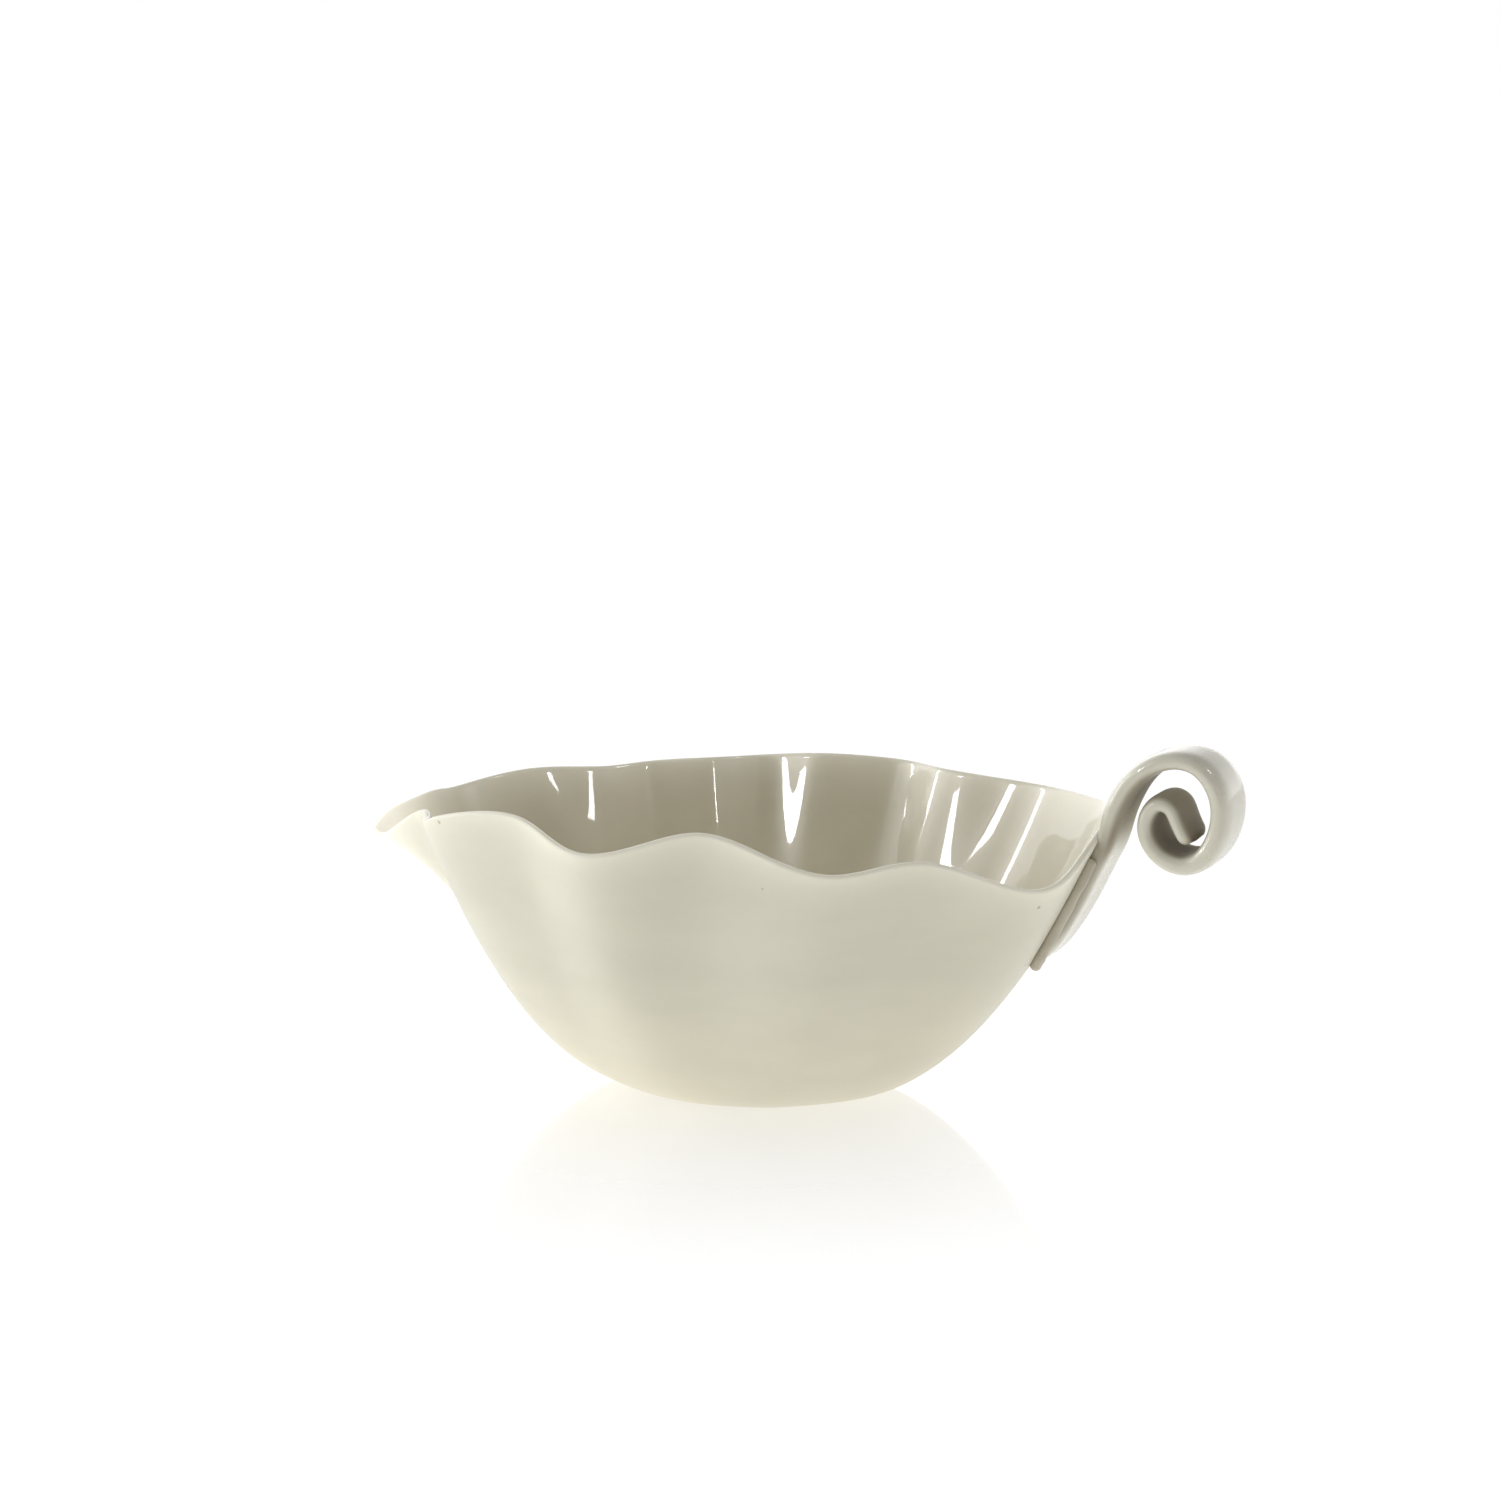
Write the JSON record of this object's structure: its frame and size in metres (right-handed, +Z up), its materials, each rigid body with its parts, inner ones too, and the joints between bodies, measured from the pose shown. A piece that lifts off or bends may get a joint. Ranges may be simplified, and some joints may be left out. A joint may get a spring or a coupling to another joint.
{
  "type": "sauce boat",
  "caption": "Thin-walled off-white porcelain sauce boat with a softly fluted wavy rim, a small pinched pouring lip, a flat foot and a scrolled strap handle.",
  "frame": {"origin": "on the table, at the centre of the flat foot", "axes": "+Z up, +X from the foot toward the handle, so the pouring lip points to -X; +Y is the side away from the viewer when the handle is on the right"},
  "size_m": [0.1967, 0.1248, 0.0817],
  "materials": {
    "bowl_porcelain": "satin outside, glossy glaze inside",
    "handle_porcelain": "glossy glaze",
    "slip": "satin"
  },
  "bodies": {
    "root": {"bowl": "bowl_porcelain", "handle": "handle_porcelain", "luting_slip": "slip"}
  },
  "joints": []
}
